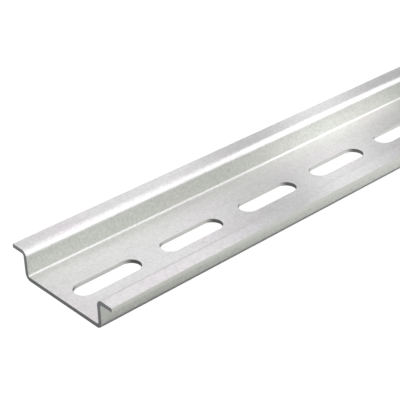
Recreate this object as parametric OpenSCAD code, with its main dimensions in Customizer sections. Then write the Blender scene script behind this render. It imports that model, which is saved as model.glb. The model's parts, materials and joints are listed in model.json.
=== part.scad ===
// Perforated top-hat mounting rail, 35 x 7.5 mm.
//
// One strip of steel, roll-formed into a shallow channel with a flange turned out
// along each side, punched with a row of slots along the base, and zinc plated.
// Switchgear hooks over the two flanges, and screws through the slots hold the
// rail down on a panel.
//
// X runs along the rail, Y across it and Z up. The underside of the base lies on
// Z = 0, the channel opens upwards, and the middle of the rail is at X = 0, Y = 0.
// All sizes are in millimetres.

/* [Section] */
// Width over the two flanges
rail_width = 35; // [34:0.1:40]
// Height from the underside of the base to the top of the flanges
rail_height = 7.5; // [5:0.1:15]
// Clear width of the channel, between the inner faces of its walls
channel_width = 25; // [20:0.1:26]
// Thickness of the strip
strip_t = 1; // [0.8:0.05:1.5]
// Radius on the inside of each bend
bend_r = 0.6; // [0.3:0.1:0.8]
// Radius on the slit edges of the strip, at the tips of the flanges
edge_r = 0.15; // [0.05:0.05:0.3]

/* [Length] */
// Length of the rail as sold
rail_length = 500; // [100:25:2000]

/* [Slots] */
// Length of a slot over its round ends
slot_length = 18; // [8:0.5:20]
// Width of a slot
slot_width = 5.2; // [4.2:0.1:6.5]
// Distance from the middle of one slot to the middle of the next
slot_pitch = 25; // [22:1:50]

/* [Hidden] */
$fn = 64;
// Outer radius of each bend, so that the strip keeps its thickness round it
bend_outer_r = bend_r + strip_t;
// Where each stretch of the section ends, measured across from the middle
base_end = channel_width / 2 - bend_r;
flange_start = channel_width / 2 + bend_outer_r;
flange_end = rail_width / 2;
// The slots fill the rail, with half of a bridge left at each cut end
slot_count = floor(rail_length / slot_pitch);
first_slot_x = -(slot_count - 1) * slot_pitch / 2;
// How far the punch runs past each face of the base
punch_over = 1;

// Section of the strip where it turns through a right angle: a quarter ring
// about the origin, turned on by the given number of quarters.
module bend_section(quarters) {
    rotate(90 * quarters)
        intersection() {
            difference() {
                circle(r = bend_outer_r);
                circle(r = bend_r);
            }
            square(bend_outer_r);
        }
}

// Section of a flange, with its slit edge slightly rounded at both corners.
module flange_section() {
    flat = flange_end - flange_start - edge_r;
    square([flat, strip_t]);
    translate([flat, edge_r])
        square([edge_r, strip_t - 2 * edge_r]);
    for (corner = [[edge_r, 3], [strip_t - edge_r, 0]])
        translate([flat, corner[0]])
            rotate(90 * corner[1])
                intersection() {
                    circle(r = edge_r);
                    square(edge_r);
                }
}

// One half of the rail's section, from the middle of the base out to a flange.
// X is measured across the rail and Y up from the underside of the base.
module half_section() {
    square([base_end, strip_t]);
    translate([base_end, bend_outer_r])
        bend_section(3);
    translate([channel_width / 2, bend_outer_r])
        square([strip_t, rail_height - 2 * bend_outer_r]);
    translate([flange_start, rail_height - bend_outer_r])
        bend_section(1);
    translate([flange_start, rail_height - strip_t])
        flange_section();
}

// The whole top-hat section.
module rail_section() {
    half_section();
    mirror([1, 0])
        half_section();
}

// What the punch takes out for one slot, with round ends.
module slot_punch() {
    end_x = (slot_length - slot_width) / 2;
    translate([0, 0, -punch_over])
        linear_extrude(strip_t + 2 * punch_over) {
            square([2 * end_x, slot_width], center = true);
            for (side = [-1, 1])
                translate([side * end_x, 0])
                    circle(d = slot_width);
        }
}

// The rail: the formed section along its whole length, with the row of slots.
module din_rail() {
    color("#dcdbda")
        difference() {
            rotate([90, 0, 90])
                linear_extrude(rail_length, center = true)
                    rail_section();
            for (i = [0 : slot_count - 1])
                translate([first_slot_x + i * slot_pitch, 0, 0])
                    slot_punch();
        }
}

din_rail();
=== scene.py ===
import json
import math

import bmesh
import bpy
from mathutils import Matrix, Vector


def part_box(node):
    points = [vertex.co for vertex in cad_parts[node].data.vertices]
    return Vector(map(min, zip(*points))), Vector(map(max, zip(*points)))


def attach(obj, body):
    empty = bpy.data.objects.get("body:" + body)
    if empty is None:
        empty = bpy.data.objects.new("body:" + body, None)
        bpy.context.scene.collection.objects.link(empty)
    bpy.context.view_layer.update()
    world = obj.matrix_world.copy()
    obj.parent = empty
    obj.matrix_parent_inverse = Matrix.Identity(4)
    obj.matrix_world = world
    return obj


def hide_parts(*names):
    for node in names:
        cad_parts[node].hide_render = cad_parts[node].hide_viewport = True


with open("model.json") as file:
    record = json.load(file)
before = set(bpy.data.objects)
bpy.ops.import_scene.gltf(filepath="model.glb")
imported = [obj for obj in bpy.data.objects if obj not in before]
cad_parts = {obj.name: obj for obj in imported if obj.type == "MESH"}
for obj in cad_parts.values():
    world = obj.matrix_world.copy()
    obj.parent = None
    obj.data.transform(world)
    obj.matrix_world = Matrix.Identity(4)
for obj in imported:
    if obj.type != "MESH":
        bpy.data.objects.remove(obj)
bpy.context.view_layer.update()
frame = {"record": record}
scene = bpy.context.scene
mm = 0.001


def linearColour(hexCode):
    parts = [int(hexCode[i:i + 2], 16) / 255 for i in (1, 3, 5)]
    return [*(c / 12.92 if c <= 0.04045 else ((c + 0.055) / 1.055) ** 2.4 for c in parts), 1.0]


def addNode(tree, kind, settings=None, links=None):
    # keys name a socket (by name or number) or else a property of the node; of a Mix node's sockets
    # 0 is the share, 2 and 3 are the two values, and 6 and 7 the two colours
    node = tree.nodes.new(kind)
    for key, value in (settings or {}).items():
        if isinstance(key, int) or key in node.inputs:
            node.inputs[key].default_value = value
        else:
            setattr(node, key, value)
    for key, socket in (links or {}).items():
        tree.links.new(socket, node.inputs[key])
    return node


def emptyMaterial(name):
    material = bpy.data.materials.new(name)
    material.use_nodes = True
    material.node_tree.nodes.clear()
    return material


# sizes shared by the pieces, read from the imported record
mounts = {m["name"]: m for m in frame["record"]["mounts"]}
railLow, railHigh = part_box("din_rail")
railLength = railHigh.x - railLow.x
railWidth = railHigh.y - railLow.y
railHeight = railHigh.z - railLow.z
stripThickness = mounts["device_seat_front"]["pos_m"][2] - mounts["hook_face_front"]["pos_m"][2]
slotFacts = mounts["slots_25_apart"]["dims"]
slotPitch = slotFacts["spacing_x_mm"] * mm
slotLength = slotFacts["slot_length_mm"] * mm
slotRadius = slotFacts["hole_r_mm"] * mm
print("frame: rail %.0f x %.1f x %.1f mm" % (railLength / mm, railWidth / mm, railHeight / mm))

cameraView = {
    "aim": (49.7 * mm, 10.49 * mm, 1 * mm),    # from the middle of the rail's near end
    "distance": 294.1 * mm,
    "heading": 48.39,                          # degrees from the rail's own direction
    "tilt": 30.13,                             # degrees down
    "roll": -1.81,
    "lens": 108.58,                            # mm
    "sensor": 36,                              # mm
    "clip": (0.01, 50),
}
aimPoint = Vector((railLow.x, 0, 0)) + Vector(cameraView["aim"])


def placeCamera(view):
    heading = math.radians(view["heading"])
    tilt = math.radians(view["tilt"])
    forward = Vector((math.cos(heading) * math.cos(tilt),
                      math.sin(heading) * math.cos(tilt),
                      -math.sin(tilt)))
    turn = forward.to_track_quat("-Z", "Y").to_matrix().to_4x4()
    data = bpy.data.cameras.new("studioCamera")
    data.sensor_width = view["sensor"]
    data.lens = view["lens"]
    data.clip_start, data.clip_end = view["clip"]
    camera = bpy.data.objects.new("studioCamera", data)
    place = Matrix.Translation(aimPoint - forward * view["distance"])
    camera.matrix_world = place @ turn @ Matrix.Rotation(math.radians(view["roll"]), 4, "Z")
    scene.collection.objects.link(camera)
    scene.camera = camera


placeCamera(cameraView)
print("camera placed")

# the rail, worked from flat strip as the real one is
railForm = {
    "channelWidth": 25 * mm,        # between the inner faces of the walls
    "bendRadius": 0.6 * mm,         # inside of each bend
    "bendSteps": 16,
    "slotSteps": 10,                # in a quarter of a slot's end
    "punchRoll": 0.12 * mm,         # the edge that the punch draws down
    "slitRound": 0.15 * mm,         # long edges of the strip
    "cutBreak": 0.06 * mm,          # sawn ends and the far side of the slots
}
samePlace = 0.001 * mm              # points closer than this are one


def near(value, wanted):
    return abs(value - wanted) < samePlace


def wholeGeometry(bm):
    return bm.verts[:] + bm.edges[:] + bm.faces[:]


def vertsOf(geometry):
    return [g for g in geometry if isinstance(g, bmesh.types.BMVert)]


def slotQuarter(bm, form, baseHalf):
    # a quarter of one slot's stretch of strip, as a flat face with the round end cut from it
    endX = slotLength / 2 - slotRadius
    first = bm.verts.new((endX + slotRadius, 0, stripThickness))
    turned = bmesh.ops.spin(bm, geom=[first], cent=(endX, 0, stripThickness), axis=(0, 0, 1),
                            angle=math.pi / 2, steps=form["slotSteps"])
    last = vertsOf(turned["geom_last"])[0]
    for x, y in ((0, slotRadius), (0, baseHalf), (slotPitch / 2, baseHalf), (slotPitch / 2, 0)):
        last = bmesh.ops.extrude_vert_indiv(bm, verts=[last])["verts"][0]
        last.co = (x, y, stripThickness)
    bm.edges.new((last, first))
    bmesh.ops.edgeloop_fill(bm, edges=bm.edges[:])


def formSide(bm, form, baseHalf):
    # bends the strip up into the wall and out again into the flange
    outer = form["bendRadius"] + stripThickness
    wallY = form["channelWidth"] / 2
    edge = [e for e in bm.edges if all(near(v.co.y, baseHalf) for v in e.verts)]
    moves = (
        ("bend", (0, baseHalf, outer), 90),
        ("pull", (0, 0, railHeight - 2 * outer), 0),
        ("bend", (0, wallY + outer, railHeight - outer), -90),
        ("pull", (0, railWidth / 2 - wallY - outer, 0), 0),
    )
    for kind, place, angle in moves:
        if kind == "bend":
            made = bmesh.ops.spin(bm, geom=edge, cent=place, axis=(1, 0, 0), angle=math.radians(angle),
                                  steps=form["bendSteps"])["geom_last"]
        else:
            made = bmesh.ops.extrude_edge_only(bm, edges=edge)["geom"]
            bmesh.ops.translate(bm, verts=vertsOf(made), vec=place)
        edge = [g for g in made if isinstance(g, bmesh.types.BMEdge) and g.is_boundary
                and near(abs(g.verts[0].co.x - g.verts[1].co.x), slotPitch / 2)]


def isSawn(face):
    facesEnd = abs(face.normal.x) > 0.9
    return facesEnd and near(abs(face.calc_center_median().x), railLength / 2)


def isPunched(face):
    upright = abs(face.normal.z) < 0.1
    inSlots = abs(face.calc_center_median().y) < slotRadius + samePlace
    return upright and inSlots and not isSawn(face)


def isSlit(face):
    return near(abs(face.calc_center_median().y), railWidth / 2)


def anyHeight(z):
    return True


def upperRim(z):
    return z > stripThickness / 2


def lowerRim(z):
    return z < stripThickness / 2


def breakEdges(bm, form):
    # which faces, their material, which of their edges, how far those are broken and in how many steps;
    # material 0 is the plated sheet, 1 the slot walls, 2 the slit edges, 3 the sawn ends
    passes = (
        (isSlit, 2, anyHeight, form["slitRound"], 3),
        (isPunched, 1, upperRim, form["punchRoll"], 3),
        (isPunched, 1, lowerRim, form["cutBreak"], 1),
        (isSawn, 3, anyHeight, form["cutBreak"], 2),
    )
    for isCut, material, atHeight, size, segments in passes:
        cut = {f for f in bm.faces if isCut(f)}
        for face in cut:
            face.material_index = material
        rim = [e for e in bm.edges if len(cut.intersection(e.link_faces)) == 1
               and all(atHeight(v.co.z) for v in e.verts)]
        made = bmesh.ops.bevel(bm, geom=rim, offset=size, offset_type="OFFSET", affect="EDGES",
                               segments=segments, profile=0.5, material=-1)
        for face in made["faces"]:
            face.material_index = material


def buildRail(form):
    bm = bmesh.new()
    baseHalf = form["channelWidth"] / 2 - form["bendRadius"]
    slotQuarter(bm, form, baseHalf)
    bmesh.ops.mirror(bm, geom=wholeGeometry(bm), axis="X", merge_dist=samePlace)
    stretch = wholeGeometry(bm)
    slotCount = round(railLength / slotPitch)
    for i in range(slotCount):
        copy = bmesh.ops.duplicate(bm, geom=stretch)["geom"]
        bmesh.ops.translate(bm, verts=vertsOf(copy), vec=(railLow.x + (i + 0.5) * slotPitch, 0, 0))
    bmesh.ops.delete(bm, geom=vertsOf(stretch), context="VERTS")
    bmesh.ops.remove_doubles(bm, verts=bm.verts[:], dist=samePlace)
    formSide(bm, form, baseHalf)
    bmesh.ops.mirror(bm, geom=wholeGeometry(bm), axis="Y", merge_dist=samePlace)
    bmesh.ops.recalc_face_normals(bm, faces=bm.faces[:])
    if sum(f.normal.z * f.calc_area() for f in bm.faces) < 0:
        bmesh.ops.reverse_faces(bm, faces=bm.faces[:])
    bmesh.ops.solidify(bm, geom=bm.faces[:], thickness=stripThickness)
    breakEdges(bm, form)
    return bm


rail = buildRail(railForm)
mesh = bpy.data.meshes.new("slottedRail")
rail.to_mesh(mesh)
rail.free()
mesh.shade_smooth()
piece = bpy.data.objects.new("slottedRail", mesh)
scene.collection.objects.link(piece)
normals = piece.modifiers.new("flatsStayFlat", "WEIGHTED_NORMAL")
normals.mode = "FACE_AREA"
normals.weight = 100
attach(piece, "root")
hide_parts("din_rail")
print("rail built:", len(mesh.polygons), "faces")

# bright zinc plate on cold-rolled strip, roll-formed and then passivated: a satin silver with a fine
# mottle and gloss drawn out by the rolling; the film looks a touch greener on the upright faces, which are
# also painted darker as shade
zincPlate = {
    "flat": "#f2f1f2",
    # the upright colour is the film's greener tint, darkened as painted shade of the walls
    "upright": "#d0d3cc",
    "fade": 0.6 * mm,              # the upright colour fades out over this much of a bend
    "film": "#f2eef1",             # where the passivation film runs thin it looks faintly pink
    "filmPatch": 22 * mm,
    "filmThins": (0.5, 0.66),      # noise levels between which the film thins
    "dull": "#b2b2b1",
    "dullShare": (0.3, 0.36),      # how strong the mottle is on the flats and on the upright faces
    "dullRange": (0.35, 0.65),     # noise levels between which the mottle goes from bright to dull
    "roughness": (0.276, 0.3),
    "roughRange": (0.3, 0.7),      # noise levels between which the roughness rises
    "rolled": 1.0,                 # gloss is sharp along the strip and wide across it
    "rolledTurn": 0.25,            # of a full turn, from the strip's own direction
    "grain": 0.65 * mm,            # the crystals are under 0.1 mm and are drawn this coarse to show
    "grainDetail": (4.0, 0.65),    # finer octaves of the noise, and how strong each is
    "grainDepth": 0.0005 * mm,
    "grainBump": 0.35,
    "rollLine": 0.7 * mm,          # spacing of the faint lines that the mill's rolls leave
    "rollStretch": 0.03,           # scales the noise along the strip, which draws it out into lines
    "rollShare": 0.1,
}
# punched slot sides under the same plate: greyer and rough, scored in the direction of the punch
punchedZinc = {
    "colour": "#dadbd8",
    "endColour": "#6e6f6c",        # painted shade: the slots' round ends, which face along the rail, are drawn darker than the sides
    "roughness": 0.5,
    "tear": 0.18 * mm,             # spacing of the score marks
}
# long edges that the slitting wheels cut: duller still, with the same score marks
slitZinc = {
    "colour": "#d2d3cd",
    "endColour": "#d2d3cd",
    "roughness": 0.6,
    "tear": 0.3 * mm,
}
# what both kinds of sheared edge share
shearMarks = {
    "stretch": 0.08,               # scales the noise in height, which draws it out into upright marks
    "bump": 0.3,
    "depth": 0.008 * mm,
    "tornRange": (0.15, 0.75),     # how far an edge faces along the rail, from its own colour to the painted shade of the ends
}
# bare steel left by the saw with fine upright strokes; its dark grey is partly the bare steel's own and
# partly painted shade of the ends
sawnSteel = {
    "colour": "#7d7f80",
    "roughness": 0.48,
    "stroke": 0.4948 * mm,         # spacing of the blade's marks
    "wander": 2.0,                 # how far the strokes stray from straight
    "bump": 0.3,
    "depth": 0.01 * mm,
}
waveSpacing = 2 * math.pi / 20     # a wave texture of scale 1 repeats over this length


def buildPlate(plate):
    material = emptyMaterial("brightZincPlate")
    tree = material.node_tree
    place = addNode(tree, "ShaderNodeTexCoord").outputs["Object"]

    # how upright the face is: the walls lie about the middle of the rail's height; the walls' greener tint
    # and painted shade follow this
    height = addNode(tree, "ShaderNodeSeparateXYZ", links={"Vector": place}).outputs["Z"]
    fromMiddle = addNode(tree, "ShaderNodeMath", {"operation": "SUBTRACT", 1: railHeight / 2}, {0: height})
    offMiddle = addNode(tree, "ShaderNodeMath", {"operation": "ABSOLUTE"}, {0: fromMiddle.outputs["Value"]})
    wallHalf = railHeight / 2 - stripThickness - railForm["bendRadius"]
    upright = addNode(tree, "ShaderNodeMapRange",
                      {"From Min": wallHalf + plate["fade"], "From Max": wallHalf},
                      {"Value": offMiddle.outputs["Value"]})

    # the film's tint, and the walls' greener tint and painted shade
    thinFrom, thinTo = plate["filmThins"]
    patch = addNode(tree, "ShaderNodeTexNoise", {"Scale": 1 / plate["filmPatch"], "Detail": 1.0},
                    {"Vector": place})
    thin = addNode(tree, "ShaderNodeMapRange", {"From Min": thinFrom, "From Max": thinTo},
                   {"Value": patch.outputs["Fac"]})
    filmed = addNode(tree, "ShaderNodeMix",
                     {"data_type": "RGBA", 6: linearColour(plate["flat"]), 7: linearColour(plate["film"])},
                     {0: thin.outputs["Result"]})
    # the upright faces take the greener, darker colour: film tint and painted shade
    filmAndWallShade = addNode(tree, "ShaderNodeMix", {"data_type": "RGBA", 7: linearColour(plate["upright"])},
                   {6: filmed.outputs[2], 0: upright.outputs["Result"]})

    # the mottle: crystals, with a little of the rolls' lines
    grainOctaves, grainFinest = plate["grainDetail"]
    grain = addNode(tree, "ShaderNodeTexNoise",
                    {"Scale": 1 / plate["grain"], "Detail": grainOctaves, "Roughness": grainFinest},
                    {"Vector": place})
    stretched = addNode(tree, "ShaderNodeMapping", {"Scale": (plate["rollStretch"], 1.0, 1.0)},
                        {"Vector": place})
    lines = addNode(tree, "ShaderNodeTexNoise", {"Scale": 1 / plate["rollLine"], "Detail": 2.0},
                    {"Vector": stretched.outputs["Vector"]})
    mottle = addNode(tree, "ShaderNodeMix", {0: plate["rollShare"]},
                     {2: grain.outputs["Fac"], 3: lines.outputs["Fac"]})
    shareFlat, shareUpright = plate["dullShare"]
    share = addNode(tree, "ShaderNodeMapRange", {"To Min": shareFlat, "To Max": shareUpright},
                    {"Value": upright.outputs["Result"]})
    dullFrom, dullTo = plate["dullRange"]
    shade = addNode(tree, "ShaderNodeMapRange", {"From Min": dullFrom, "From Max": dullTo, "To Min": 0.0},
                    {"Value": mottle.outputs[0], "To Max": share.outputs["Result"]})
    colour = addNode(tree, "ShaderNodeMix",
                     {"data_type": "RGBA", "blend_type": "MULTIPLY", 7: linearColour(plate["dull"])},
                     {6: filmAndWallShade.outputs[2], 0: shade.outputs["Result"]})

    # the gloss
    roughFrom, roughTo = plate["roughRange"]
    smoothest, roughest = plate["roughness"]
    rough = addNode(tree, "ShaderNodeMapRange",
                    {"From Min": roughFrom, "From Max": roughTo, "To Min": smoothest, "To Max": roughest},
                    {"Value": grain.outputs["Fac"]})
    bump = addNode(tree, "ShaderNodeBump", {"Strength": plate["grainBump"], "Distance": plate["grainDepth"]},
                   {"Height": grain.outputs["Fac"]})
    along = addNode(tree, "ShaderNodeCombineXYZ", {"X": 1.0})
    shader = addNode(tree, "ShaderNodeBsdfPrincipled",
                     {"Metallic": 1.0, "Anisotropic": plate["rolled"],
                      "Anisotropic Rotation": plate["rolledTurn"]},
                     {"Base Color": colour.outputs[2], "Roughness": rough.outputs["Result"],
                      "Normal": bump.outputs["Normal"], "Tangent": along.outputs["Vector"]})
    addNode(tree, "ShaderNodeOutputMaterial", links={"Surface": shader.outputs["BSDF"]})
    return material


def buildSheared(name, edge, marks):
    material = emptyMaterial(name)
    tree = material.node_tree
    coords = addNode(tree, "ShaderNodeTexCoord")
    upright = addNode(tree, "ShaderNodeMapping", {"Scale": (1.0, 1.0, marks["stretch"])},
                      {"Vector": coords.outputs["Object"]})
    tears = addNode(tree, "ShaderNodeTexNoise", {"Scale": 1 / edge["tear"], "Detail": 2.0},
                    {"Vector": upright.outputs["Vector"]})
    bump = addNode(tree, "ShaderNodeBump", {"Strength": marks["bump"], "Distance": marks["depth"]},
                   {"Height": tears.outputs["Fac"]})
    # edges that face along the rail take the end colour, which is painted shade
    facing = addNode(tree, "ShaderNodeSeparateXYZ", links={"Vector": coords.outputs["Normal"]}).outputs["X"]
    endwise = addNode(tree, "ShaderNodeMath", {"operation": "ABSOLUTE"}, {0: facing})
    endShadeStarts, endShadeFull = marks["tornRange"]
    endShade = addNode(tree, "ShaderNodeMapRange", {"From Min": endShadeStarts, "From Max": endShadeFull},
                      {"Value": endwise.outputs["Value"]})
    colour = addNode(tree, "ShaderNodeMix",
                     {"data_type": "RGBA", 6: linearColour(edge["colour"]),
                      7: linearColour(edge["endColour"])},
                     {0: endShade.outputs["Result"]})
    shader = addNode(tree, "ShaderNodeBsdfPrincipled", {"Metallic": 1.0, "Roughness": edge["roughness"]},
                     {"Base Color": colour.outputs[2], "Normal": bump.outputs["Normal"]})
    addNode(tree, "ShaderNodeOutputMaterial", links={"Surface": shader.outputs["BSDF"]})
    return material


def buildSawn(edge):
    material = emptyMaterial("sawnSteelEnd")
    tree = material.node_tree
    place = addNode(tree, "ShaderNodeTexCoord").outputs["Object"]
    strokes = addNode(tree, "ShaderNodeTexWave",
                      {"wave_type": "BANDS", "bands_direction": "Y",
                       "Scale": waveSpacing / edge["stroke"], "Distortion": edge["wander"]},
                      {"Vector": place})
    bump = addNode(tree, "ShaderNodeBump", {"Strength": edge["bump"], "Distance": edge["depth"]},
                   {"Height": strokes.outputs["Fac"]})
    # the end's dark grey is partly the bare steel's own and partly painted shade
    shader = addNode(tree, "ShaderNodeBsdfPrincipled",
                     {"Metallic": 1.0, "Base Color": linearColour(edge["colour"]),
                      "Roughness": edge["roughness"]},
                     {"Normal": bump.outputs["Normal"]})
    addNode(tree, "ShaderNodeOutputMaterial", links={"Surface": shader.outputs["BSDF"]})
    return material


for finish in (
    buildPlate(zincPlate),
    buildSheared("punchedZincEdge", punchedZinc, shearMarks),
    buildSheared("slitZincEdge", slitZinc, shearMarks),
    buildSawn(sawnSteel),
):
    mesh.materials.append(finish)
print("finishes made")

studio = {
    "floorSize": 6.0,
    "floorGap": 0.02 * mm,         # under the rail, so that the two faces don't meet
    "floorColour": "#f0f0f0",
    "floorGlow": 1.15,             # the camera sees this white over the floor's own shade
    "floorWhite": 0.86,
    "floorWhiteInMetal": (0.17, 0.7),      # the floor glows more in the metal further along the rail
    "floorBrightens": (20 * mm, 95 * mm),  # where that change starts and ends, from the near end
    # no light gets under the closed sides of the base, so the metal mirrors a dark band there
    "darkMiddle": 11.2 * mm,       # middle of each band, from the rail's own
    "darkHalf": 2.8 * mm,          # half of its width
    "darkFade": 1.2 * mm,
    "worldLight": 0.72,
    "worldInMetal": 0.61,
    "behindBoxes": 0.4,            # share of that behind the soft boxes, so that the two don't add up
    "boxesRange": (0.8, 0.95),     # cosines, from the middle of the boxes, between which that sets in
}
# each box stands square to the rail: degrees away from the rail's own direction, degrees round the rail
# from level behind it over the top to level in front, distance, size along and round, and radiance
softBoxes = {
    "frontBox": (50, 168, 1.5, (0.9, 0.6), 1.1),
    "nearFrontBox": (70, 145, 1.5, (0.4, 0.8), 0.7),
    "lowFrontBox": (60, 145, 1.5, (0.3, 0.6), 0.8),
    "topFrontBox": (57, 115, 1.5, (0.85, 1.0), 1.0),
    "topBackBox": (60, 64, 1.5, (0.4, 0.6), 0.8),
    "overBox": (61, 78, 1.5, (0.25, 0.6), 0.7),
    "backBox": (61, 30, 1.5, (0.35, 0.4), 0.27),
    "stripBack": (46.6, 37, 1.5, (0.1, 0.7), 0.7),
    "stripTop": (46.2, 85, 1.5, (0.1, 1.1), 0.6),
    "stripFront": (45.7, 143, 1.5, (0.16, 1.0), 1.9),
    "stripSide": (55.7, 44, 1.5, (0.09, 0.3), 0.24),
}


def raysInMetal(tree, rays):
    # 1 for what the metal mirrors, 0 for the rest
    shiny = addNode(tree, "ShaderNodeMath", {"operation": "MAXIMUM"},
                    {0: rays.outputs["Is Glossy Ray"], 1: rays.outputs["Is Transmission Ray"]})
    return shiny.outputs["Value"]


def darkBand(tree, look, spot):
    # 1 on the floor under the closed sides of the base, and 0 past the rail's ends
    aside = addNode(tree, "ShaderNodeMath", {"operation": "ABSOLUTE"}, {0: spot.outputs["Y"]})
    offBand = addNode(tree, "ShaderNodeMath", {"operation": "SUBTRACT", 1: look["darkMiddle"]},
                      {0: aside.outputs["Value"]})
    offMiddle = addNode(tree, "ShaderNodeMath", {"operation": "ABSOLUTE"}, {0: offBand.outputs["Value"]})
    shut = addNode(tree, "ShaderNodeMapRange",
                   {"From Min": look["darkHalf"] + look["darkFade"], "From Max": look["darkHalf"]},
                   {"Value": offMiddle.outputs["Value"]})
    endways = addNode(tree, "ShaderNodeMath", {"operation": "ABSOLUTE"}, {0: spot.outputs["X"]})
    inside = addNode(tree, "ShaderNodeMapRange",
                     {"From Min": railLength / 2, "From Max": railLength / 2 - look["darkFade"]},
                     {"Value": endways.outputs["Value"]})
    under = addNode(tree, "ShaderNodeMath", {"operation": "MULTIPLY"},
                    {0: shut.outputs["Result"], 1: inside.outputs["Result"]})
    return under.outputs["Value"]


def paleFloor(look):
    material = emptyMaterial("paleFloor")
    tree = material.node_tree
    rays = addNode(tree, "ShaderNodeLightPath")
    inMetal = raysInMetal(tree, rays)
    place = addNode(tree, "ShaderNodeTexCoord").outputs["Object"]
    spot = addNode(tree, "ShaderNodeSeparateXYZ", links={"Vector": place})

    # how white it glows: fully to the camera, and less so in the metal
    seen = addNode(tree, "ShaderNodeMath", {"operation": "MULTIPLY", 1: look["floorWhite"]},
                   {0: rays.outputs["Is Camera Ray"]})
    glowFrom, glowTo = look["floorBrightens"]
    glowLeast, glowMost = look["floorWhiteInMetal"]
    glow = addNode(tree, "ShaderNodeMapRange",
                   {"From Min": railLow.x + glowFrom, "From Max": railLow.x + glowTo,
                    "To Min": glowLeast, "To Max": glowMost},
                   {"Value": spot.outputs["X"]})
    whiteness = addNode(tree, "ShaderNodeMath", {"operation": "MULTIPLY_ADD"},
                        {0: inMetal, 1: glow.outputs["Result"], 2: seen.outputs["Value"]})
    paint = addNode(tree, "ShaderNodeBsdfDiffuse", {"Color": linearColour(look["floorColour"])})
    white = addNode(tree, "ShaderNodeEmission", {"Strength": look["floorGlow"]})
    blend = addNode(tree, "ShaderNodeMixShader", links={
        0: whiteness.outputs["Value"], 1: paint.outputs["BSDF"], 2: white.outputs["Emission"]})

    # black in the metal where the band is: the mix's second shader is left empty
    dark = addNode(tree, "ShaderNodeMath", {"operation": "MULTIPLY"},
                   {0: darkBand(tree, look, spot), 1: inMetal})
    shadowed = addNode(tree, "ShaderNodeMixShader", links={
        0: dark.outputs["Value"], 1: blend.outputs["Shader"]})
    addNode(tree, "ShaderNodeOutputMaterial", links={"Surface": shadowed.outputs["Shader"]})
    return material


def buildFloor(look):
    bm = bmesh.new()
    bmesh.ops.create_grid(bm, x_segments=1, y_segments=1, size=look["floorSize"] / 2)
    bmesh.ops.translate(bm, verts=bm.verts[:], vec=(0, 0, railLow.z - look["floorGap"]))
    floorMesh = bpy.data.meshes.new("studioFloor")
    bm.to_mesh(floorMesh)
    bm.free()
    floorMesh.materials.append(paleFloor(look))
    floor = bpy.data.objects.new("studioFloor", floorMesh)
    scene.collection.objects.link(floor)


def buildWorld(look):
    world = bpy.data.worlds.new("studioWorld")
    world.use_nodes = True
    tree = world.node_tree
    tree.nodes.clear()
    rays = addNode(tree, "ShaderNodeLightPath")
    sight = addNode(tree, "ShaderNodeTexCoord").outputs["Generated"]
    away = math.radians(softBoxes["topFrontBox"][0])
    toBoxes = addNode(tree, "ShaderNodeVectorMath",
                      {"operation": "DOT_PRODUCT", 1: (math.cos(away), 0.0, math.sin(away))}, {0: sight})
    dimFrom, dimTo = look["boxesRange"]
    mirrored = addNode(tree, "ShaderNodeMapRange",
                       {"From Min": dimFrom, "From Max": dimTo, "To Min": look["worldInMetal"],
                        "To Max": look["worldInMetal"] * look["behindBoxes"]},
                       {"Value": toBoxes.outputs["Value"]})
    lit = addNode(tree, "ShaderNodeMix", {2: look["worldLight"]},
                  {0: raysInMetal(tree, rays), 3: mirrored.outputs["Result"]})
    strength = addNode(tree, "ShaderNodeMix", {3: 1.0}, {0: rays.outputs["Is Camera Ray"], 2: lit.outputs[0]})
    sky = addNode(tree, "ShaderNodeBackground", {"Color": (1.0, 1.0, 1.0, 1.0)},
                  {"Strength": strength.outputs[0]})
    addNode(tree, "ShaderNodeOutputWorld", links={"Surface": sky.outputs["Background"]})
    scene.world = world


# turns a box that faces down to face back along the rail, upright
faceBack = Matrix(((0, 0, 1, 0), (-1, 0, 0, 0), (0, -1, 0, 0), (0, 0, 0, 1)))


def buildLamps(boxes):
    for name, (away, around, distance, size, radiance) in boxes.items():
        data = bpy.data.lights.new(name, "AREA")
        data.shape = "RECTANGLE"
        data.size, data.size_y = size
        data.energy = radiance * math.pi * size[0] * size[1]      # watts that give this radiance
        lamp = bpy.data.objects.new(name, data)
        turn = Matrix.Rotation(math.radians(around), 4, "X") @ Matrix.Rotation(math.radians(away), 4, "Z")
        # before the turn the box stands on the rail's own line
        box = Matrix.Translation((distance, 0, 0)) @ faceBack
        lamp.matrix_world = Matrix.Translation(aimPoint) @ turn @ box
        scene.collection.objects.link(lamp)


buildFloor(studio)
buildWorld(studio)
buildLamps(softBoxes)
scene.view_settings.view_transform = "Standard"
print("studio lit")
